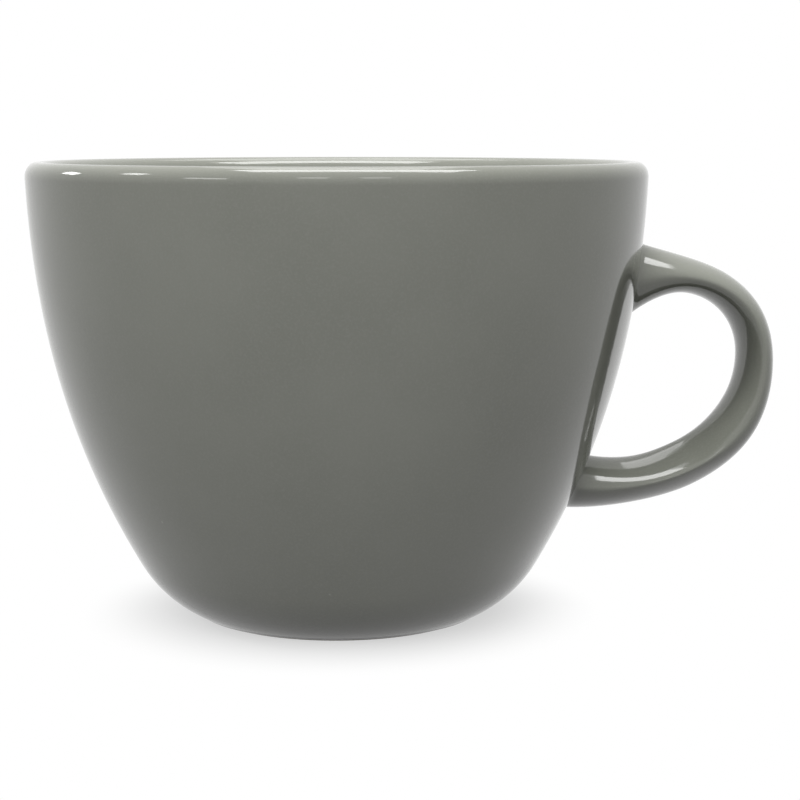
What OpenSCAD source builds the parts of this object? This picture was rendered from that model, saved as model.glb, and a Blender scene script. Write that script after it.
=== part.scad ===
// Cappuccino cup: a turned wall on a small foot with a separately cast handle, luted on with slip
// and coated with glaze. Millimetres. The origin is the centre of the foot ring on the table,
// +Z is up and +X points to the handle.

/* [Cup] */
// Height from the table to the crest of the rim
cup_h = 77.6; // [72:0.2:88]
// Outside diameter just under the rim
rim_d = 105; // [96:0.5:116]
// Thickness of the wall at the rim
rim_t = 4.8; // [4:0.1:6.5]
// Distance from the outer edge of the rim in to its crest
crest_in = 2.1; // [1.6:0.1:2.8]
// Height of the rounding over the rim
rim_round_h = 2.7; // [1.8:0.1:4]
// Thickness of the wall at the belly
wall_t = 4.6; // [3.5:0.1:6]
// Slope of the wall just under the rim, in degrees from level
rim_slope = 87.5; // [84:0.5:89.5]

/* [Belly and foot] */
// Diameter of the foot where it meets the table
foot_d = 46.8; // [40:0.2:54]
// Slope of the outside where it leaves the foot, in degrees from level
foot_slope = 21; // [12:1:32]
// Distance that the belly stands out from the foot
belly_out = 11; // [8:0.2:14]
// Height of the belly above the table
belly_h = 9.3; // [7.5:0.1:12]
// Slope of the wall at the belly, in degrees from level
belly_slope = 60; // [52:1:66]
// Width of the ring that rests on the table
foot_ring_w = 3.2; // [2:0.1:5]
// Height of the hollow under the foot
recess_h = 2; // [1.4:0.1:3]
// Width of the curve from the foot ring to the top of that hollow
recess_curve_w = 2.5; // [1.5:0.1:4]
// Thickness of the floor of the cup
floor_t = 5; // [4:0.1:6]

/* [Handle, outer edge] */
// Distance from the axis of the cup to the outermost point of the handle
handle_reach = 76.5; // [72:0.1:84]
// Depth below the rim at which the top of the handle leaves the wall
handle_top_drop = 13.9; // [11:0.1:17]
// Fall of the top of the handle where it leaves the wall, in degrees
handle_top_fall = 15; // [8:1:20]
// Straightness of the top of the handle next to the wall
handle_top_run = 11.1; // [9:0.1:15]
// Depth of the outermost point of the handle below its top
grip_drop = 21.5; // [18:0.1:24]
// Straightness of the handle above its outermost point
grip_run_up = 16.2; // [13:0.1:19]
// Straightness of the handle below its outermost point
grip_run_down = 22.3; // [18:0.1:24]
// Height above the table at which the underside of the handle leaves the wall
handle_bottom_h = 17.1; // [15:0.1:20]
// Fall of the underside of the handle where it leaves the wall, in degrees
handle_bottom_fall = 5; // [0:1:10]
// Straightness of the underside of the handle next to the wall
handle_bottom_run = 14.7; // [10:0.1:17]

/* [Handle, finger gap] */
// Thickness of the handle at its grip
grip_t = 5.75; // [4.8:0.05:8]
// Depth below the rim of the top of the finger gap at the wall
gap_top_drop = 27.7; // [25:0.1:30]
// Rise of the finger gap's edge where it leaves the wall at the top, in degrees
gap_top_rise = 49; // [36:1:54]
// Straightness of the finger gap's edge next to the wall at the top
gap_top_run = 12.6; // [10:0.1:15]
// Depth of the farthest point of the finger gap below its top at the wall
gap_drop = 6.3; // [4:0.1:10]
// Straightness of the finger gap's edge above its farthest point
gap_run_up = 9.8; // [7:0.1:11]
// Straightness of the finger gap's edge below its farthest point
gap_run_down = 15; // [12:0.1:18]
// Height above the table of the bottom of the finger gap at the wall
gap_bottom_h = 26.4; // [24.5:0.1:29]
// Fall of the finger gap's edge where it leaves the wall at the bottom, in degrees
gap_bottom_fall = 22; // [12:1:26]
// Straightness of the finger gap's edge next to the wall at the bottom
gap_bottom_run = 8.2; // [6:0.1:11]

/* [Handle, section and roots] */
// Width of the handle across its grip
grip_w = 14; // [11:0.1:17]
// Width of the handle at both roots
root_w = 15.4; // [12:0.1:18]
// Radius of the finished curve between the handle and the wall
root_fillet = 0.9; // [0.7:0.05:1.6]
// Thickness of the slip between the handle and the wall
slip_t = 0.4; // [0.3:0.05:0.8]
// Radius of the bead of slip round each root
slip_bead = 0.55; // [0.3:0.05:0.65]

/* [Glaze] */
// Thickness of the glaze
glaze_t = 0.35; // [0.2:0.05:0.6]

/* [Hidden] */

// Powers of the section of the handle across its sides and its edges: both at 2 give an ellipse, and
// lower powers a ridge. The lower limb has the sharper ridge.
soft_powers = [1.65, 2];
ridged_powers = [1.2, 1.35];
// Shares of the half section over which the ridges of its sides and of its edges are rounded
round_shares = [0.2, 0.5];
// Places along the handle where that ridge starts and is sharpest, and the share left at the lower root
ridge_start = 1.2;
ridge_peak = 1.5;
root_ridge_share = 0.5;
// How far each end of a curve pulls along its own slope, as a share of the distance between its ends
pull_share = 0.343;
rim_pull_share = 0.36;
quarter_share = 0.552;
// Share of the curve out of the foot that is left without glaze
bare_share = 0.1;
// Rings of each root, as shares of the fillet beyond the slip
root_shares = [0.1, 0.25, 0.45, 0.7, 1];
// Number of those rings that the bead of slip reaches
bead_rings = 3;
// Share of each half of the handle over which it turns from the wall's shape to a flat section
settle_share = 0.45;

low_steps = 10;
wall_steps = 22;
round_steps = 6;
lining_steps = 20;
cove_steps = 8;
recess_steps = 8;
sides = 28;
grip_rings = 34;
cap_rings = 3;

rim_r = rim_d / 2;
foot_r = foot_d / 2;
ring_r = foot_r - foot_ring_w;
floor_z = recess_h + floor_t;

// Curves are cubic spans, travelled up the outside of the cup and down its inside
function bez(p, t) = pow(1 - t, 3) * p[0] + 3 * pow(1 - t, 2) * t * p[1]
    + 3 * (1 - t) * t * t * p[2] + pow(t, 3) * p[3];
function bez_way(p, t) = 3 * pow(1 - t, 2) * (p[1] - p[0]) + 6 * (1 - t) * t * (p[2] - p[1])
    + 3 * t * t * (p[3] - p[2]);
function unit(v) = v / norm(v);
function along(angle) = [cos(angle), sin(angle)];
function right_of(v) = [v[1], -v[0]];
function tangent_span(a, b, angle_a, angle_b, share_a, share_b) = [
    a,
    a + norm(b - a) * share_a * along(angle_a),
    b - norm(b - a) * share_b * along(angle_b),
    b
];
function quarter_span(a, corner, b) = [
    a,
    a + quarter_share * (corner - a),
    b + quarter_share * (corner - b),
    b
];
function face_of(p, n, from = 0) = [for (i = [0:n]) bez(p, from + (1 - from) * i / n)];
function clay_of(p, n, from = 0) = [
    for (i = [0:n])
        let (t = from + (1 - from) * i / n)
        bez(p, t) - glaze_t * right_of(unit(bez_way(p, t)))
];
function tail_of(list) = [for (i = [1:len(list) - 1]) list[i]];
function reversed(list) = [for (i = [len(list) - 1:-1:0]) list[i]];

foot_edge = [foot_r, 0];
belly = [foot_r + belly_out, belly_h];
rim_edge = [rim_r, cup_h - rim_round_h];
crest = [rim_r - crest_in, cup_h];
lip = [rim_r - rim_t, cup_h - rim_round_h];
rim_rise = [rim_round_h / tan(rim_slope), rim_round_h];
belly_inside = belly - wall_t * right_of(along(belly_slope));
cove_drop = belly_inside[1] - floor_z;
cove_w = cove_drop * sin(belly_slope) / (1 - cos(belly_slope));
floor_edge = [belly_inside[0] - cove_w, floor_z];

low = tangent_span(foot_edge, belly, foot_slope, belly_slope, pull_share, pull_share);
wall = tangent_span(belly, rim_edge, belly_slope, rim_slope, pull_share, rim_pull_share);
rim_outside = quarter_span(rim_edge, rim_edge + rim_rise, crest);
rim_inside = quarter_span(crest, lip + rim_rise, lip);
lining = tangent_span(
    lip, belly_inside, rim_slope + 180, belly_slope + 180, rim_pull_share, pull_share
);
cove = tangent_span(belly_inside, floor_edge, belly_slope + 180, 180, pull_share, pull_share);

outer_face = concat(
    face_of(low, low_steps, bare_share),
    tail_of(face_of(wall, wall_steps)),
    tail_of(face_of(rim_outside, round_steps))
);
outer_clay = concat(
    clay_of(low, low_steps, bare_share),
    tail_of(clay_of(wall, wall_steps)),
    tail_of(clay_of(rim_outside, round_steps))
);
inner_face = concat(
    face_of(rim_inside, round_steps),
    tail_of(face_of(lining, lining_steps)),
    tail_of(face_of(cove, cove_steps)),
    [[0, floor_z]]
);
inner_clay = concat(
    clay_of(rim_inside, round_steps),
    tail_of(clay_of(lining, lining_steps)),
    tail_of(clay_of(cove, cove_steps)),
    [[0, floor_z - glaze_t]]
);

// Hollow under the foot: a quarter of an ellipse from its top down to the foot ring
bare_h = outer_face[0][1];
bare_turn = acos(bare_h / recess_h);
function recess_at(turn) = [
    ring_r - recess_curve_w + recess_curve_w * sin(turn),
    recess_h * cos(turn)
];
function recess_out(turn) = unit([sin(turn) * recess_h, cos(turn) * recess_curve_w]);
base_face = [for (i = [0:recess_steps]) recess_at(bare_turn * i / recess_steps)];
base_clay = [
    for (i = [0:recess_steps])
        let (turn = bare_turn * i / recess_steps)
        recess_at(turn) + glaze_t * recess_out(turn)
];

body_outline = concat(
    [[0, recess_h + glaze_t]],
    base_clay,
    [base_face[recess_steps], [ring_r, 0], foot_edge, outer_face[0]],
    outer_clay,
    tail_of(inner_clay)
);

// The wall as heights and radii, so that the ends of the handle can lie on it
function by_height(list) = [for (p = list) [p[1], p[0]]];
face_rows = by_height(face_of(wall, wall_steps));
clay_rows = by_height(clay_of(wall, wall_steps));
function on_wall(rows, y, z) = sqrt(pow(lookup(z, rows), 2) - y * y);
function wall_point(z) = [on_wall(face_rows, 0, z), z];

// The two edges of the handle seen from the side, each in a span out to the grip and a span back
handle_top = wall_point(cup_h - handle_top_drop);
handle_bottom = wall_point(handle_bottom_h);
gap_top = wall_point(cup_h - gap_top_drop);
gap_bottom = wall_point(gap_bottom_h);
grip = [handle_reach, handle_top[1] - grip_drop];
gap_end = [handle_reach - grip_t, gap_top[1] - gap_drop];
outer_edge = [
    [
        handle_top,
        handle_top + handle_top_run * along(-handle_top_fall),
        grip + [0, grip_run_up],
        grip
    ],
    [
        grip,
        grip - [0, grip_run_down],
        handle_bottom + handle_bottom_run * along(-handle_bottom_fall),
        handle_bottom
    ]
];
gap_edge = [
    [
        gap_top,
        gap_top + gap_top_run * along(gap_top_rise),
        gap_end + [0, gap_run_up],
        gap_end
    ],
    [
        gap_end,
        gap_end - [0, gap_run_down],
        gap_bottom + gap_bottom_run * along(-gap_bottom_fall),
        gap_bottom
    ]
];

// Places along the handle run from 0 at the upper root, through 1 at the grip, to 2 at the lower root
function edge_at(edge, v) = v < 1 ? bez(edge[0], v) : bez(edge[1], v - 1);
function width(v) = grip_w + (root_w - grip_w) * pow(1 - v, 4);
function ease(t) = t <= 0 ? 0 : t >= 1 ? 1 : t * t * (3 - 2 * t);
function bulge(c, power, share) =
    c * pow((c * c + share * share) / (1 + share * share), 1 / power - 1 / 2);
function ridge(v) = ease((v - ridge_start) / (ridge_peak - ridge_start))
    - (1 - root_ridge_share) * ease((v - ridge_peak) / (2 - ridge_peak));
function powers(v) = soft_powers + (ridged_powers - soft_powers) * ridge(v);

// Distance out from the wall for each ring of a root, and its place along the handle
zone = [for (s = root_shares) slip_t + s * root_fillet];
zone_l = zone[len(zone) - 1];
bead_l = zone[bead_rings - 1];
upper_pace = 3 * (handle_top_run * cos(handle_top_fall) + gap_top_run * cos(gap_top_rise)) / 2;
lower_pace = 3 * (handle_bottom_run * cos(handle_bottom_fall)
    + gap_bottom_run * cos(gap_bottom_fall)) / 2;
upper_zone = [for (d = zone) d / upper_pace];
lower_zone = [for (d = zone) 2 - d / lower_pace];
upper_end = upper_zone[len(zone) - 1];
lower_end = lower_zone[len(zone) - 1];
function wallness(v) = v < 1
    ? 1 - ease((v - upper_end) / settle_share)
    : 1 - ease((lower_end - v) / settle_share);

// One ring round the handle, grown by a distance and pressed to the wall's shape near a root
function centre(v) = (edge_at(outer_edge, v) + edge_at(gap_edge, v)) / 2;
function ring(v, grow) =
    let (c = centre(v), reach = edge_at(outer_edge, v) - c, w = wallness(v))
    let (n = unit(reach), half_t = norm(reach) + grow, half_w = width(v) / 2 + grow)
    let (off = c[0] - on_wall(face_rows, 0, c[1]), power = powers(v))
    [
        for (i = [0:sides - 1])
            let (a = 360 * i / sides)
            let (t = half_t * bulge(cos(a), power[0], round_shares[0]))
            let (y = half_w * bulge(sin(a), power[1], round_shares[1]))
            let (x = c[0] + t * n[0], z = c[1] + t * n[1])
            [x + (on_wall(face_rows, y, z) + off - x) * w, y, z]
    ];
// A root's outline laid on the wall and then moved straight out
function laid(v, grow, rows, out = 0) = [
    for (p = ring(v, grow)) [on_wall(rows, p[1], p[2]) + out, p[1], p[2]]
];
// Rings that close an end: the root's outline drawn in to its middle along the wall
function cap(v, grow, rows, out = 0) = [
    for (k = [cap_rings - 1:-1:1])
        let (c = centre(v), s = k / cap_rings)
        [
            for (p = ring(v, grow))
                let (y = p[1] * s, z = c[1] + (p[2] - c[1]) * s)
                [on_wall(rows, y, z) + out, y, z]
        ]
];
function cap_middle(v, rows, out = 0) = [on_wall(rows, 0, centre(v)[1]) + out, 0, centre(v)[1]];
function fillet(size, d, length) = d >= length ? 0 : size * (1 - sqrt(1 - pow(1 - d / length, 2)));

clay_grow = -glaze_t;
grip_places = [for (i = [1:grip_rings - 1]) upper_end + (lower_end - upper_end) * i / grip_rings];
function rings_at(places, grow) = [for (v = places) ring(v, grow)];
function bead_list(root, places) = concat(
    [laid(root, clay_grow + slip_bead, clay_rows)],
    [
        for (k = [0:bead_rings - 2])
            ring(places[k], clay_grow + fillet(slip_bead, zone[k], bead_l))
    ]
);
function past_bead(places) = [for (k = [bead_rings - 1:len(places) - 1]) places[k]];
function fillet_list(root, places) = concat(
    [laid(root, root_fillet, clay_rows), laid(root, root_fillet, face_rows)],
    [for (k = [0:len(places) - 1]) ring(places[k], fillet(root_fillet, zone[k], zone_l))]
);

// A closed skin through rings: strips between neighbours, with the ends capped or the loop closed.
// A strip that runs back towards the upper root is cut on the other diagonal, to match its neighbour.
function strip(i, j, back) = [
    for (k = [0:sides - 1])
        let (a = i * sides + k, b = i * sides + (k + 1) % sides)
        let (c = j * sides + (k + 1) % sides, d = j * sides + k)
        each (back ? [[a, b, d], [b, c, d]] : [[a, b, c], [a, c, d]])
];
function start_fan(i, middle) = [for (k = [0:sides - 1]) [i * sides + (k + 1) % sides, i * sides + k, middle]];
function end_fan(i, middle) = [for (k = [0:sides - 1]) [i * sides + k, i * sides + (k + 1) % sides, middle]];
module capped_skin(rings, first, last, back_from, back_to) {
    n = len(rings);
    points = concat([for (r = rings) each r], [first, last]);
    faces = concat(
        start_fan(0, n * sides),
        [for (i = [0:n - 2]) each strip(i, i + 1, i >= back_from && i < back_to)],
        end_fan(n - 1, n * sides + 1)
    );
    polyhedron(points, faces);
}
module looped_skin(rings, back_from) {
    n = len(rings);
    points = [for (r = rings) each r];
    faces = [for (i = [0:n - 1]) each strip(i, (i + 1) % n, i >= back_from)];
    polyhedron(points, faces);
}

module turned(outline) {
    rotate_extrude($fn = 180)
        polygon(outline);
}

module root_window(root) {
    rotate([90, 0, 90])
        linear_extrude(height = handle_reach)
            polygon([for (p = laid(root, root_fillet, face_rows)) [p[1], p[2]]]);
}

// Slip from the wall out over its bead, then back under the bead to the end of the handle
function slip_bead_rings(root, places) = concat(
    reversed(cap(root, clay_grow + slip_bead, clay_rows)),
    bead_list(root, places)
);
function slip_seat_rings(root, places) = concat(
    [for (k = [bead_rings - 1:-1:0]) ring(places[k], clay_grow)],
    [laid(root, clay_grow, clay_rows, slip_t)],
    cap(root, clay_grow, clay_rows, slip_t)
);

module cup_body() {
    color("wheat")
        turned(body_outline);
}

module handle() {
    rings = concat(
        reversed(cap(0, clay_grow, clay_rows, slip_t)),
        [laid(0, clay_grow, clay_rows, slip_t)],
        rings_at(upper_zone, clay_grow),
        rings_at(grip_places, clay_grow),
        rings_at(reversed(lower_zone), clay_grow),
        [laid(2, clay_grow, clay_rows, slip_t)],
        cap(2, clay_grow, clay_rows, slip_t)
    );
    color("wheat")
        capped_skin(rings, cap_middle(0, clay_rows, slip_t), cap_middle(2, clay_rows, slip_t), 0, 0);
}

module upper_slip_joint() {
    bead = slip_bead_rings(0, upper_zone);
    rings = concat(bead, slip_seat_rings(0, upper_zone));
    color("tan")
        capped_skin(rings, cap_middle(0, clay_rows), cap_middle(0, clay_rows, slip_t), len(bead), len(rings));
}

module lower_slip_joint() {
    seat = reversed(slip_seat_rings(2, lower_zone));
    rings = concat(seat, reversed(slip_bead_rings(2, lower_zone)));
    color("tan")
        capped_skin(rings, cap_middle(2, clay_rows, slip_t), cap_middle(2, clay_rows), 0, len(seat) - 1);
}

module outer_glaze() {
    color("gray")
        difference() {
            turned(concat(outer_face, reversed(outer_clay)));
            root_window(0);
            root_window(2);
        }
}

module inner_glaze() {
    color("darkgray")
        turned(concat(inner_face, reversed(inner_clay)));
}

module handle_glaze() {
    outside = concat(
        fillet_list(0, upper_zone),
        rings_at(grip_places, 0),
        reversed(fillet_list(2, lower_zone))
    );
    inside = concat(
        bead_list(2, lower_zone),
        rings_at(past_bead(lower_zone), clay_grow),
        rings_at(reversed(grip_places), clay_grow),
        rings_at(reversed(past_bead(upper_zone)), clay_grow),
        reversed(bead_list(0, upper_zone))
    );
    color("gray")
        looped_skin(concat(outside, inside), len(outside));
}

module base_glaze() {
    color("darkgray")
        turned(concat([[0, recess_h]], base_face, reversed(base_clay), [[0, recess_h + glaze_t]]));
}

cup_body();
handle();
upper_slip_joint();
lower_slip_joint();
outer_glaze();
inner_glaze();
handle_glaze();
base_glaze();
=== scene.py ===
"""Smooth glazed skins over the clay of a packed cup, in a plain studio, from the photograph's view."""

import math

import bpy
import numpy as np
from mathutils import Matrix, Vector


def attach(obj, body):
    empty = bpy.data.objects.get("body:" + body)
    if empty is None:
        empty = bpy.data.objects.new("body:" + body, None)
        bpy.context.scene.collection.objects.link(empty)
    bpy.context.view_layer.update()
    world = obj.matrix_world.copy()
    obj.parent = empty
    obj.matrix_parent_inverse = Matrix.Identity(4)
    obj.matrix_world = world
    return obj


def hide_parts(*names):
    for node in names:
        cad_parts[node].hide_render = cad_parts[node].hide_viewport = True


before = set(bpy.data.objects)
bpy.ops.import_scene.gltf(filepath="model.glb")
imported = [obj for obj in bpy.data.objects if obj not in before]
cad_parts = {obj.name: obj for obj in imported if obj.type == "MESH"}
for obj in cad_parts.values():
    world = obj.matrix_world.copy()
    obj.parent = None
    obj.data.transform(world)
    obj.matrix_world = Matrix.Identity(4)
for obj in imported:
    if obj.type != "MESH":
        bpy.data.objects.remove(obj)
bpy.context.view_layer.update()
scene = bpy.context.scene

# Shapes are worked out in millimetres and degrees, and the studio in metres and degrees
MM = 0.001

# Sizes of the cup, as in the part's source
CUP_H = 77.6
RIM_D = 105.0
RIM_T = 4.8
CREST_IN = 2.1
RIM_ROUND_H = 2.7
WALL_T = 4.6
RIM_SLOPE = 87.5
FOOT_D = 46.8
FOOT_SLOPE = 21.0
BELLY_OUT = 11.0
BELLY_H = 9.3
BELLY_SLOPE = 60.0
FOOT_RING_W = 3.2
RECESS_H = 2.0
RECESS_CURVE_W = 2.5
FLOOR_T = 5.0

# Sizes of the handle's outer edge
HANDLE_REACH = 76.5
HANDLE_TOP_DROP = 13.9
HANDLE_TOP_FALL = 15.0
HANDLE_TOP_RUN = 11.1
GRIP_DROP = 21.5
GRIP_RUN_UP = 16.2
GRIP_RUN_DOWN = 22.3
HANDLE_BOTTOM_H = 17.1
HANDLE_BOTTOM_FALL = 5.0
HANDLE_BOTTOM_RUN = 14.7

# Sizes of the finger gap
GRIP_T = 5.75
GAP_TOP_DROP = 27.7
GAP_TOP_RISE = 49.0
GAP_TOP_RUN = 12.6
GAP_DROP = 6.3
GAP_RUN_UP = 9.8
GAP_RUN_DOWN = 15.0
GAP_BOTTOM_H = 26.4
GAP_BOTTOM_FALL = 22.0
GAP_BOTTOM_RUN = 8.2

# Sizes of the handle's section and roots
GRIP_W = 14.0
ROOT_W = 15.4
ROOT_FILLET = 0.9
SLIP_T = 0.4

# Powers of the handle's section across its sides and its edges: both at 2 give an ellipse,
# and lower ones a ridge
SOFT_POWERS = np.array([1.65, 2.0])
RIDGED_POWERS = np.array([1.2, 1.35])
# Shares of the half section over which the ridges of its sides and of its edges are rounded
SIDE_ROUND_SHARE = 0.2
EDGE_ROUND_SHARE = 0.5
# Places along the handle go from 0 at the upper root to 1 at the grip and 2 at the lower root.
# These are where the ridge starts and is sharpest, and the share left at the lower root.
RIDGE_START = 1.2
RIDGE_PEAK = 1.5
ROOT_RIDGE_SHARE = 0.5
# Power with which the handle widens from its grip to its roots
WIDEN_POWER = 4
# Share of each half of the handle over which it turns from the wall's shape to a flat section
SETTLE_SHARE = 0.45
# How far each end of a curve pulls along its own slope, as a share of the distance between its ends
PULL_SHARE = 0.343
RIM_PULL_SHARE = 0.36
QUARTER_SHARE = 0.552
# Share of the curve out of the foot that is left without glaze
BARE_SHARE = 0.1

# Rolled edge of the glaze: its round, its sink into the clay, its lap over the bare clay
# and the angles of its rows
EDGE_ROUND = 0.16
EDGE_SINK = 0.06
EDGE_LAP = 0.3
EDGE_TURNS = (0, 30, 60, 90)
# Edge of the handle's glaze, which is tucked into the wall
TUCK_W = 0.35
TUCK_DEPTH = 0.03
# Distances over which the glaze is thin at the crest of the rim, and pooled at the roots and above the foot
THIN_SPREAD = 1.1
ROOT_POOL_SPREAD = 2.0
FOOT_POOL_SPREAD = 0.8
# Share to which it pools above the foot
FOOT_POOL_SHARE = 0.5

# Points round the cup and round the handle, and steps along each curve
SEGMENTS = 256
SIDES = 80
LOW_STEPS = 29
WALL_STEPS = 75
ROUND_STEPS = 18
LINING_STEPS = 65
COVE_STEPS = 25
FLOOR_STEPS = 8
RECESS_STEPS = 29
BASE_STEPS = 9
ROOT_STEPS = 12
GRIP_STEPS = 150
WALL_LOOKUP_STEPS = 399

# Colours, and how strongly thin glaze, pooled glaze and pinholes show
GLAZE_DARK = (0.176, 0.183, 0.156, 1)
GLAZE_LIGHT = (0.194, 0.201, 0.173, 1)
GLAZE_SPECK = (0.215, 0.218, 0.197, 1)
GLAZE_THIN = (0.27, 0.268, 0.235, 1)
GLAZE_POOL = (0.125, 0.129, 0.115, 1)
GLAZE_PINHOLE = (0.3, 0.3, 0.27, 1)
CLAY_DARK = (0.52, 0.47, 0.385, 1)
CLAY_LIGHT = (0.66, 0.61, 0.52, 1)
CLAY_SPECK = (0.3, 0.24, 0.17, 1)
FLOOR_DARK = (0.62, 0.62, 0.62, 1)
FLOOR_LIGHT = (0.65, 0.65, 0.65, 1)
FLOOR_DIM = (0.07, 0.07, 0.07, 1)
WHITE = (1, 1, 1, 1)
THIN_SHARE = 0.15
POOL_SHARE = 0.55
PINHOLE_SHARE = 0.5


# Curves are cubic spans, travelled up the outside of the cup and down its inside

def bez(span, t):
    """Points of a cubic span at the shares t, from 0 at its start to 1 at its end."""
    t = np.asarray(t, float)[..., None]
    a, b, c, d = span
    return (1 - t) ** 3 * a + 3 * (1 - t) ** 2 * t * b + 3 * (1 - t) * t**2 * c + t**3 * d


def bez_way(span, t):
    """Direction of a cubic span at the share t."""
    a, b, c, d = span
    way = 3 * (1 - t) ** 2 * (b - a) + 6 * (1 - t) * t * (c - b) + 3 * t**2 * (d - c)
    return way / np.linalg.norm(way)


def along(angle):
    """Direction at an angle above level."""
    return np.array([math.cos(math.radians(angle)), math.sin(math.radians(angle))])


def right_of(way):
    """Direction at right angles to a way, on its right."""
    return np.array([way[1], -way[0]])


def tangent_span(a, b, angle_a, angle_b, share_a, share_b):
    """Span from a to b that leaves and arrives at the given angles."""
    chord = np.linalg.norm(b - a)
    return a, a + chord * share_a * along(angle_a), b - chord * share_b * along(angle_b), b


def quarter_span(a, corner, b):
    """Span like a quarter of an ellipse, from a round a corner to b."""
    return a, a + QUARTER_SHARE * (corner - a), b + QUARTER_SHARE * (corner - b), b


def rows_of(span, steps, start=0.0):
    """Rows of radius and height along a span, from the share start to its end."""
    return bez(span, np.linspace(start, 1, steps + 1))


def disc_rows(radius, height, steps):
    """Rows of a level disc from a radius in to the axis, without the first."""
    radii = np.linspace(radius, 0, steps + 1)[1:]
    return np.stack([radii, np.full(steps, height)], axis=1)


def ease(t):
    """Smooth step from 0 to 1 as t goes from 0 to 1."""
    t = np.clip(t, 0, 1)
    return t * t * (3 - 2 * t)


def fade(distance, spread):
    """1 at no distance, and nearly 0 at twice the spread."""
    return np.exp(-((distance / spread) ** 2))


# Outline of the cup

foot_r = FOOT_D / 2
rim_r = RIM_D / 2
floor_z = RECESS_H + FLOOR_T
foot_edge = np.array([foot_r, 0.0])
belly = np.array([foot_r + BELLY_OUT, BELLY_H])
rim_edge = np.array([rim_r, CUP_H - RIM_ROUND_H])
crest = np.array([rim_r - CREST_IN, CUP_H])
lip = np.array([rim_r - RIM_T, CUP_H - RIM_ROUND_H])
rim_rise = np.array([RIM_ROUND_H / math.tan(math.radians(RIM_SLOPE)), RIM_ROUND_H])
belly_inside = belly - WALL_T * right_of(along(BELLY_SLOPE))
belly_run, belly_rise = along(BELLY_SLOPE)
cove_w = (belly_inside[1] - floor_z) * belly_rise / (1 - belly_run)
floor_edge = np.array([belly_inside[0] - cove_w, floor_z])

low = tangent_span(foot_edge, belly, FOOT_SLOPE, BELLY_SLOPE, PULL_SHARE, PULL_SHARE)
wall = tangent_span(belly, rim_edge, BELLY_SLOPE, RIM_SLOPE, PULL_SHARE, RIM_PULL_SHARE)
rim_outside = quarter_span(rim_edge, rim_edge + rim_rise, crest)
rim_inside = quarter_span(crest, lip + rim_rise, lip)
lining = tangent_span(lip, belly_inside, RIM_SLOPE + 180, BELLY_SLOPE + 180, RIM_PULL_SHARE, PULL_SHARE)
cove = tangent_span(belly_inside, floor_edge, BELLY_SLOPE + 180, 180, PULL_SHARE, PULL_SHARE)

# The wall as radii and heights, so that the ends of the handle can lie on it
wall_rows = rows_of(wall, WALL_LOOKUP_STEPS)


def on_wall(y, z):
    """Place of the wall along X at a place along Y and a height, on the handle's side."""
    radius = np.interp(z, wall_rows[:, 1], wall_rows[:, 0])
    return np.sqrt(radius * radius - y * y)


def wall_point(z):
    """Point of the wall's outline at a height."""
    return np.array([float(on_wall(0.0, z)), z])


# Nodes

def empty_tree(owner):
    """Node tree of a material or a world, with nothing in it yet."""
    owner.use_nodes = True
    owner.node_tree.nodes.clear()
    return owner.node_tree


def add(tree, kind, **settings):
    """New node with its settings, and its sockets named with _ for a space."""
    node = tree.nodes.new(kind)
    for key, value in settings.items():
        if hasattr(node, key):
            setattr(node, key, value)
        else:
            node.inputs[key.replace("_", " ")].default_value = value
    return node


def feed(tree, socket, value):
    """Links another socket to a socket, or sets a plain value on it."""
    if isinstance(value, bpy.types.NodeSocket):
        tree.links.new(value, socket)
    else:
        socket.default_value = value


def ramp(tree, source, *stops):
    """Level that follows a source between two stops, each a place and the level there."""
    node = add(tree, "ShaderNodeValToRGB")
    for element, (place, level) in zip(node.color_ramp.elements, stops):
        element.position = place
        element.color = (level, level, level, 1)
    tree.links.new(source, node.inputs["Fac"])
    return node.outputs["Color"]


def mix(tree, factor, a, b):
    """Colour between a and b."""
    node = add(tree, "ShaderNodeMix", data_type="RGBA")
    feed(tree, node.inputs["Factor"], factor)
    feed(tree, node.inputs["A"], a)
    feed(tree, node.inputs["B"], b)
    return node.outputs["Result"]


def work_out(tree, operation, a, b):
    """Result of an operation on two values."""
    node = add(tree, "ShaderNodeMath", operation=operation)
    feed(tree, node.inputs[0], a)
    feed(tree, node.inputs[1], b)
    return node.outputs["Value"]


def choose(tree, factor, first, second):
    """Shader that goes from the first to the second with a factor."""
    node = add(tree, "ShaderNodeMixShader")
    for socket, source in zip(node.inputs, (factor, first, second)):
        tree.links.new(source, socket)
    return node.outputs["Shader"]


def seen_directly(tree):
    """1 for what the camera sees straight, in a reflection or through glass."""
    path = add(tree, "ShaderNodeLightPath")
    seen = path.outputs["Is Camera Ray"]
    for other in ("Is Glossy Ray", "Is Transmission Ray"):
        seen = work_out(tree, "MAXIMUM", seen, path.outputs[other])
    return seen


# Materials

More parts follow.
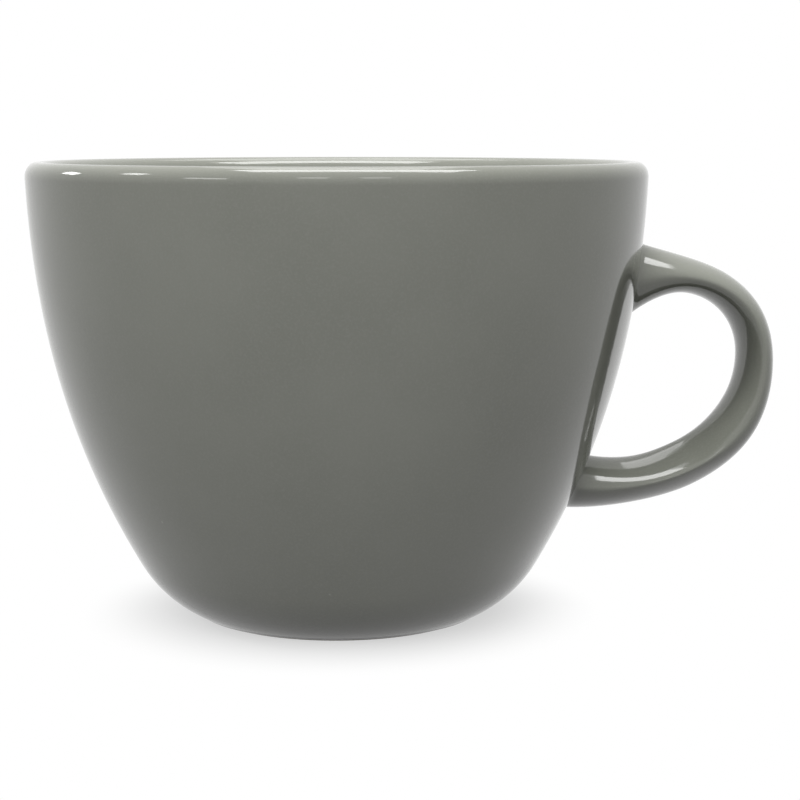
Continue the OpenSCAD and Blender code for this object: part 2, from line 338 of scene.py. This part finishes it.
def glaze_material():
    """Glossy grey glaze, cloudy and finely speckled, with a few pinholes and a slightly uneven face."""
    material = bpy.data.materials.new("grey_glaze")
    tree = empty_tree(material)
    links = tree.links
    place = add(tree, "ShaderNodeTexCoord").outputs["Object"]
    cloud = add(tree, "ShaderNodeTexNoise", Scale=42.0, Detail=4.0, Roughness=0.55)
    fine = add(tree, "ShaderNodeTexNoise", Scale=2600.0, Detail=2.0, Roughness=0.6)
    peel = add(tree, "ShaderNodeTexNoise", Scale=330.0, Detail=2.0, Roughness=0.5)
    wave = add(tree, "ShaderNodeTexNoise", Scale=55.0, Detail=1.0, Roughness=0.5)
    cells = add(tree, "ShaderNodeTexVoronoi", Scale=230.0)
    for texture in (cloud, fine, peel, wave, cells):
        links.new(place, texture.inputs["Vector"])

    clouds = ramp(tree, cloud.outputs["Fac"], (0.35, 0.0), (0.65, 1.0))
    grey = mix(tree, clouds, GLAZE_DARK, GLAZE_LIGHT)
    specks = ramp(tree, fine.outputs["Fac"], (0.45, 0.0), (0.75, 0.5))
    grey = mix(tree, specks, grey, GLAZE_SPECK)
    thin = add(tree, "ShaderNodeAttribute", attribute_name="thin").outputs["Fac"]
    grey = mix(tree, work_out(tree, "MULTIPLY", thin, THIN_SHARE), grey, GLAZE_THIN)
    pool = add(tree, "ShaderNodeAttribute", attribute_name="pool").outputs["Fac"]
    grey = mix(tree, work_out(tree, "MULTIPLY", pool, POOL_SHARE), grey, GLAZE_POOL)
    # Pinholes are the middles of a few of the cells
    chosen = ramp(tree, cells.outputs["Color"], (0.86, 0.0), (0.88, 1.0))
    middle = ramp(tree, cells.outputs["Distance"], (0.035, 1.0), (0.06, 0.0))
    pinhole = work_out(tree, "MULTIPLY", chosen, middle)
    grey = mix(tree, work_out(tree, "MULTIPLY", pinhole, PINHOLE_SHARE), grey, GLAZE_PINHOLE)

    wave_bump = add(tree, "ShaderNodeBump", Strength=0.03, Distance=0.0012)
    links.new(wave.outputs["Fac"], wave_bump.inputs["Height"])
    peel_bump = add(tree, "ShaderNodeBump", Strength=0.03, Distance=0.0004)
    links.new(peel.outputs["Fac"], peel_bump.inputs["Height"])
    links.new(wave_bump.outputs["Normal"], peel_bump.inputs["Normal"])

    shader = add(tree, "ShaderNodeBsdfPrincipled", IOR=1.5)
    roughness = ramp(tree, cloud.outputs["Fac"], (0.3, 0.055), (0.7, 0.085))
    links.new(grey, shader.inputs["Base Color"])
    links.new(roughness, shader.inputs["Roughness"])
    links.new(peel_bump.outputs["Normal"], shader.inputs["Normal"])
    out = add(tree, "ShaderNodeOutputMaterial")
    links.new(shader.outputs["BSDF"], out.inputs["Surface"])
    return material


def clay_material():
    """Rough fired clay with cloudy colour, dark specks and a sandy face."""
    material = bpy.data.materials.new("fired_clay")
    tree = empty_tree(material)
    links = tree.links
    place = add(tree, "ShaderNodeTexCoord").outputs["Object"]
    cloud = add(tree, "ShaderNodeTexNoise", Scale=120.0, Detail=5.0, Roughness=0.6)
    sand = add(tree, "ShaderNodeTexNoise", Scale=3200.0, Detail=3.0, Roughness=0.65)
    grog = add(tree, "ShaderNodeTexVoronoi", Scale=900.0)
    for texture in (cloud, sand, grog):
        links.new(place, texture.inputs["Vector"])

    clouds = ramp(tree, cloud.outputs["Fac"], (0.3, 0.0), (0.7, 1.0))
    colour = mix(tree, clouds, CLAY_DARK, CLAY_LIGHT)
    specks = ramp(tree, grog.outputs["Distance"], (0.12, 0.55), (0.2, 0.0))
    colour = mix(tree, specks, colour, CLAY_SPECK)
    bump = add(tree, "ShaderNodeBump", Strength=0.35, Distance=0.00012)
    links.new(sand.outputs["Fac"], bump.inputs["Height"])

    shader = add(tree, "ShaderNodeBsdfPrincipled")
    roughness = ramp(tree, sand.outputs["Fac"], (0.3, 0.78), (0.7, 0.92))
    links.new(colour, shader.inputs["Base Color"])
    links.new(roughness, shader.inputs["Roughness"])
    links.new(bump.outputs["Normal"], shader.inputs["Normal"])
    out = add(tree, "ShaderNodeOutputMaterial")
    links.new(shader.outputs["BSDF"], out.inputs["Surface"])
    return material


glaze = glaze_material()
clay = clay_material()
for name in ("cup_body", "handle", "upper_slip_joint", "lower_slip_joint"):
    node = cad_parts[name]
    node.data.materials.clear()
    node.data.materials.append(clay)


# Skins of glaze

def quads(rings, count):
    """Faces between neighbouring closed rings of count points each."""
    faces = []
    for ring_start in range(0, (rings - 1) * count, count):
        for k in range(count):
            a = ring_start + k
            b = ring_start + (k + 1) % count
            faces.append((a, b, b + count, a + count))
    return faces


def revolve(rows):
    """Points and faces of a turned skin through rows of radius and height that end on the axis."""
    body = rows[:-1]
    turn = np.linspace(0, 2 * np.pi, SEGMENTS, endpoint=False)
    x = body[:, :1] * np.cos(turn)
    y = body[:, :1] * np.sin(turn)
    z = np.repeat(body[:, 1], SEGMENTS)
    middle = [0, 0, rows[-1, 1]]
    verts = np.vstack([np.stack([x.ravel(), y.ravel(), z], axis=1), middle])
    faces = quads(len(body), SEGMENTS)
    last = (len(body) - 1) * SEGMENTS
    faces += [(last + k, last + (k + 1) % SEGMENTS, len(verts) - 1) for k in range(SEGMENTS)]
    return verts, faces


def glaze_edge(face, out, way):
    """Rows of the glaze's rolled edge at a point, with its ways out of the clay and on along the glaze."""
    rows = []
    for turn in EDGE_TURNS:
        lap, rise = along(turn)
        rows.append(face - out * EDGE_SINK - way * EDGE_LAP * lap + out * EDGE_ROUND * rise)
    return rows


def add_skin(name, verts, faces, thin=0.0, pool=0.0):
    """Smooth glazed piece through points in millimetres, with how thin and how pooled its glaze is."""
    mesh = bpy.data.meshes.new(name)
    mesh.from_pydata([tuple(point) for point in verts * MM], [], faces)
    mesh.polygons.foreach_set("use_smooth", [True] * len(mesh.polygons))
    for key, level in (("thin", thin), ("pool", pool)):
        layer = mesh.attributes.new(key, "FLOAT", "POINT")
        layer.data.foreach_set("value", np.full(len(verts), level, np.float32))
    mesh.materials.append(glaze)
    mesh.update()
    piece = bpy.data.objects.new(name, mesh)
    scene.collection.objects.link(piece)
    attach(piece, "root")
    return piece


# Handle: rings between its outer edge and the edge of the finger gap, each in a span out and a span back

handle_top = wall_point(CUP_H - HANDLE_TOP_DROP)
handle_bottom = wall_point(HANDLE_BOTTOM_H)
gap_top = wall_point(CUP_H - GAP_TOP_DROP)
gap_bottom = wall_point(GAP_BOTTOM_H)
grip = np.array([HANDLE_REACH, handle_top[1] - GRIP_DROP])
gap_end = np.array([HANDLE_REACH - GRIP_T, gap_top[1] - GAP_DROP])
outer_edge = (
    (
        handle_top,
        handle_top + HANDLE_TOP_RUN * along(-HANDLE_TOP_FALL),
        grip + [0, GRIP_RUN_UP],
        grip,
    ),
    (
        grip,
        grip - [0, GRIP_RUN_DOWN],
        handle_bottom + HANDLE_BOTTOM_RUN * along(-HANDLE_BOTTOM_FALL),
        handle_bottom,
    ),
)
gap_edge = (
    (
        gap_top,
        gap_top + GAP_TOP_RUN * along(GAP_TOP_RISE),
        gap_end + [0, GAP_RUN_UP],
        gap_end,
    ),
    (
        gap_end,
        gap_end - [0, GAP_RUN_DOWN],
        gap_bottom + GAP_BOTTOM_RUN * along(-GAP_BOTTOM_FALL),
        gap_bottom,
    ),
)


def root_pace(*runs):
    """How fast the middle of the handle leaves a root, from its edges' runs and angles there."""
    return 3 * sum(run * along(angle)[0] for run, angle in runs) / len(runs)


root_l = SLIP_T + ROOT_FILLET
upper_pace = root_pace((HANDLE_TOP_RUN, HANDLE_TOP_FALL), (GAP_TOP_RUN, GAP_TOP_RISE))
lower_pace = root_pace((HANDLE_BOTTOM_RUN, HANDLE_BOTTOM_FALL), (GAP_BOTTOM_RUN, GAP_BOTTOM_FALL))
upper_end = root_l / upper_pace
lower_end = 2 - root_l / lower_pace
section = np.linspace(0, 2 * np.pi, SIDES, endpoint=False)


def bulge(share, power, round_share):
    """Share of the half section for a share of a circle, with the ridge rounded over the round share."""
    return share * ((share * share + round_share**2) / (1 + round_share**2)) ** (1 / power - 1 / 2)


def ring(place, grow, sink=0.0):
    """Points round the handle at a place along it, grown all round and sunk towards the cup's axis."""
    half = 0 if place < 1 else 1
    outer = bez(outer_edge[half], place - half)
    inner = bez(gap_edge[half], place - half)
    centre = (outer + inner) / 2
    reach = (outer - inner) / 2
    normal = reach / np.linalg.norm(reach)
    half_t = np.linalg.norm(reach) + grow
    half_w = (GRIP_W + (ROOT_W - GRIP_W) * (1 - place) ** WIDEN_POWER) / 2 + grow
    ridge = ease((place - RIDGE_START) / (RIDGE_PEAK - RIDGE_START))
    ridge = ridge - (1 - ROOT_RIDGE_SHARE) * ease((place - RIDGE_PEAK) / (2 - RIDGE_PEAK))
    side_power, edge_power = SOFT_POWERS + (RIDGED_POWERS - SOFT_POWERS) * ridge
    t = half_t * bulge(np.cos(section), side_power, SIDE_ROUND_SHARE)
    x = centre[0] + t * normal[0]
    y = half_w * bulge(np.sin(section), edge_power, EDGE_ROUND_SHARE)
    z = centre[1] + t * normal[1]
    from_root = place - upper_end if place < 1 else lower_end - place
    wall_share = 1 - ease(from_root / SETTLE_SHARE)
    off_wall = centre[0] - on_wall(0.0, centre[1])
    x_on_wall = on_wall(y, z) + off_wall
    return np.stack([x + (x_on_wall - x) * wall_share - sink, y, z], axis=1)


root_corners = np.vstack([ring(0, 0.0), ring(2, 0.0)])


def root_pool(points):
    """How near each point is to the corner between the wall and a root of the handle, from 0 to 1."""
    gap = np.min([np.linalg.norm(points - corner, axis=1) for corner in root_corners], axis=0)
    return fade(gap, ROOT_POOL_SPREAD)


# Glaze over the outside of the cup, its rim and its lining, in one skin

low_rows = rows_of(low, LOW_STEPS, BARE_SHARE)
low_way = bez_way(low, BARE_SHARE)
bare_h = low_rows[0, 1]
coat_rows = np.vstack([
    glaze_edge(low_rows[0], right_of(low_way), low_way),
    low_rows[1:],
    rows_of(wall, WALL_STEPS)[1:],
    rows_of(rim_outside, ROUND_STEPS)[1:],
    rows_of(rim_inside, ROUND_STEPS)[1:],
    rows_of(lining, LINING_STEPS)[1:],
    rows_of(cove, COVE_STEPS)[1:],
    disc_rows(floor_edge[0], floor_z, FLOOR_STEPS),
])
coat_verts, coat_faces = revolve(coat_rows)
coat_heights = coat_verts[:, 2]
coat_thin = fade(coat_heights - CUP_H, THIN_SPREAD)
foot_pool = FOOT_POOL_SHARE * fade(coat_heights - bare_h, FOOT_POOL_SPREAD)
coat_pool = np.maximum(root_pool(coat_verts), foot_pool)
coat = add_skin("glaze_coat", coat_verts, coat_faces, coat_thin, coat_pool)
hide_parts("outer_glaze", "inner_glaze")

# Glaze over the handle, from the wall at its upper root to the wall at its lower root

root_steps = []
for step in range(ROOT_STEPS + 1):
    turn = math.pi / 2 * step / ROOT_STEPS
    root_steps.append((root_l * (1 - math.cos(turn)), ROOT_FILLET * (1 - math.sin(turn))))
grip_places = np.linspace(upper_end, lower_end, GRIP_STEPS + 1)[1:-1]
rings = [ring(0, ROOT_FILLET + TUCK_W, TUCK_DEPTH)]
rings += [ring(distance / upper_pace, grow) for distance, grow in root_steps]
rings += [ring(place, 0.0) for place in grip_places]
rings += [ring(2 - distance / lower_pace, grow) for distance, grow in reversed(root_steps)]
rings += [ring(2, ROOT_FILLET + TUCK_W, TUCK_DEPTH)]
handle_verts = np.vstack(rings)
handle_faces = [(a, d, c, b) for a, b, c, d in quads(len(rings), SIDES)]
sleeve = add_skin("glaze_handle", handle_verts, handle_faces, pool=root_pool(handle_verts))
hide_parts("handle_glaze")

# Glaze in the hollow under the foot: a quarter of an ellipse from the foot ring up to a level disc

recess_r = foot_r - FOOT_RING_W - RECESS_CURVE_W
recess_turn = np.linspace(math.acos(bare_h / RECESS_H), 0, RECESS_STEPS + 1)
recess_rows = np.stack(
    [recess_r + RECESS_CURVE_W * np.sin(recess_turn), RECESS_H * np.cos(recess_turn)], axis=1
)
clay_way = np.array([RECESS_H * math.sin(recess_turn[0]), RECESS_CURVE_W * math.cos(recess_turn[0])])
clay_way /= np.linalg.norm(clay_way)
recess_way = recess_rows[1] - recess_rows[0]
recess_way /= np.linalg.norm(recess_way)
base_rows = np.vstack([
    glaze_edge(recess_rows[0], -clay_way, recess_way),
    recess_rows[1:],
    disc_rows(recess_rows[-1, 0], RECESS_H, BASE_STEPS),
])
base_verts, base_faces = revolve(base_rows)
base = add_skin("glaze_base", base_verts, [face[::-1] for face in base_faces])
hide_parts("base_glaze")

# Studio: a pale floor that turns white away from the cup, soft lamps and a white surround

FLOOR_HALF = 4.0
# A hair under the foot ring, so that the two flat faces don't meet
FLOOR_DROP = 0.00005
# Distances from the middle of the floor between which it turns white, and the share of white inside them
WHITE_START = 0.024
WHITE_END = 0.046
MIDDLE_WHITE_SHARE = 0.6
# The sky's brightest direction, the cosine to it below which the sky stays dim, and its strengths
SKY_AZIMUTH = -8
SKY_ELEVATION = 42
SKY_EDGE = 0.35
SKY_DIM = 0.1
SKY_BRIGHT = 1.95
LAMP_DISTANCE = 0.8
RIM_CENTRE = Vector((0, 0, CUP_H * MM))
# The handle points this many degrees away from the camera
TURN = 5.0


def around(azimuth, elevation, distance):
    """Place by its angle from the camera's side of the cup, to the right, and its angle above level."""
    a = math.radians(azimuth - 90 - TURN)
    e = math.radians(elevation)
    return distance * Vector((math.cos(a) * math.cos(e), math.sin(a) * math.cos(e), math.sin(e)))


def floor_material():
    """Pale floor that shows the shadow at the foot and white further out, and throws little light back."""
    material = bpy.data.materials.new("studio_floor")
    tree = empty_tree(material)
    links = tree.links
    place = add(tree, "ShaderNodeTexCoord").outputs["Object"]
    grain = add(tree, "ShaderNodeTexNoise", Scale=9.0, Detail=4.0)
    links.new(place, grain.inputs["Vector"])
    pale = add(tree, "ShaderNodeBsdfDiffuse")
    links.new(mix(tree, grain.outputs["Fac"], FLOOR_DARK, FLOOR_LIGHT), pale.inputs["Color"])
    dim = add(tree, "ShaderNodeBsdfDiffuse", Color=FLOOR_DIM)
    white = add(tree, "ShaderNodeEmission", Strength=1.0)
    distance = add(tree, "ShaderNodeVectorMath", operation="LENGTH")
    links.new(place, distance.inputs[0])
    whiteness = add(tree, "ShaderNodeMapRange", interpolation_type="SMOOTHSTEP",
                    From_Min=WHITE_START, From_Max=WHITE_END, To_Min=MIDDLE_WHITE_SHARE)
    links.new(distance.outputs["Value"], whiteness.inputs["Value"])
    shown = choose(tree, whiteness.outputs["Result"], pale.outputs["BSDF"], white.outputs["Emission"])
    surface = choose(tree, seen_directly(tree), dim.outputs["BSDF"], shown)
    out = add(tree, "ShaderNodeOutputMaterial")
    links.new(surface, out.inputs["Surface"])
    return material


def studio_world():
    """Surround that looks white, and lights matt surfaces like a sky that is brightest on one side."""
    world = bpy.data.worlds.new("studio")
    tree = empty_tree(world)
    links = tree.links
    facing = add(tree, "ShaderNodeVectorMath", operation="DOT_PRODUCT")
    links.new(add(tree, "ShaderNodeTexCoord").outputs["Generated"], facing.inputs[0])
    facing.inputs[1].default_value = around(SKY_AZIMUTH, SKY_ELEVATION, 1.0)
    strength = add(tree, "ShaderNodeMapRange", interpolation_type="SMOOTHSTEP",
                   From_Min=SKY_EDGE, From_Max=1.0, To_Min=SKY_DIM, To_Max=SKY_BRIGHT)
    links.new(facing.outputs["Value"], strength.inputs["Value"])
    sky = add(tree, "ShaderNodeBackground", Color=WHITE)
    links.new(strength.outputs["Result"], sky.inputs["Strength"])
    white = add(tree, "ShaderNodeBackground", Color=WHITE, Strength=1.0)
    surface = choose(tree, seen_directly(tree), sky.outputs["Background"], white.outputs["Background"])
    out = add(tree, "ShaderNodeOutputWorld")
    links.new(surface, out.inputs["Surface"])
    return world


def lamp(name, azimuth, elevation, size, power, distance=LAMP_DISTANCE, aside=0.0):
    """Soft lamp that faces the middle of the rim, then moved to the right by the length aside."""
    place = around(azimuth, elevation, distance)
    data = bpy.data.lights.new(name, "AREA")
    data.shape = "RECTANGLE"
    data.size, data.size_y = size
    data.energy = power
    light = bpy.data.objects.new(name, data)
    light.location = RIM_CENTRE + place + around(90, 0, aside)
    light.rotation_euler = (-place).to_track_quat("-Z", "Y").to_euler()
    scene.collection.objects.link(light)


floor_mesh = bpy.data.meshes.new("floor")
floor_signs = ((-1, -1), (1, -1), (1, 1), (-1, 1))
floor_corners = [(x * FLOOR_HALF, y * FLOOR_HALF, -FLOOR_DROP) for x, y in floor_signs]
floor_mesh.from_pydata(floor_corners, [], [(0, 1, 2, 3)])
floor_mesh.materials.append(floor_material())
floor = bpy.data.objects.new("floor", floor_mesh)
scene.collection.objects.link(floor)

scene.world = studio_world()
lamp("overhead", azimuth=0, elevation=86, size=(0.68, 0.3), power=5.8, distance=0.76, aside=0.06)
lamp("overhead_back", azimuth=180, elevation=64, size=(0.4, 0.45), power=1.4)
lamp("left_front", azimuth=-48, elevation=24, size=(0.21, 0.07), power=0.28)
lamp("left_side", azimuth=-86, elevation=35, size=(0.13, 0.1), power=0.42)
lamp("left_back", azimuth=-115, elevation=21, size=(0.13, 0.1), power=0.48)
lamp("front_left", azimuth=-9, elevation=33, size=(0.13, 0.13), power=0.16)
lamp("front_right", azimuth=14, elevation=33, size=(0.13, 0.13), power=0.14)

# The photograph's view

CAMERA_DISTANCE = 0.340
CAMERA_H = 0.08301
# Angles of the view to the right of the cup's axis and below level
CAMERA_YAW = 1.777
CAMERA_PITCH = 7.781
FOCAL_PIXELS = 1983.6
FRAME_PIXELS = 800
SENSOR_W_MM = 36.0
NEAREST = 0.01

camera_data = bpy.data.cameras.new("camera")
camera_data.sensor_width = SENSOR_W_MM
camera_data.lens = SENSOR_W_MM * FOCAL_PIXELS / FRAME_PIXELS
camera_data.clip_start = NEAREST
camera = bpy.data.objects.new("camera", camera_data)
camera.location = around(0, 0, CAMERA_DISTANCE) + Vector((0, 0, CAMERA_H))
forward = around(180 - CAMERA_YAW, -CAMERA_PITCH, 1.0)
camera.rotation_euler = forward.to_track_quat("-Z", "Y").to_euler()
scene.collection.objects.link(camera)
scene.camera = camera
scene.view_settings.view_transform = "Standard"
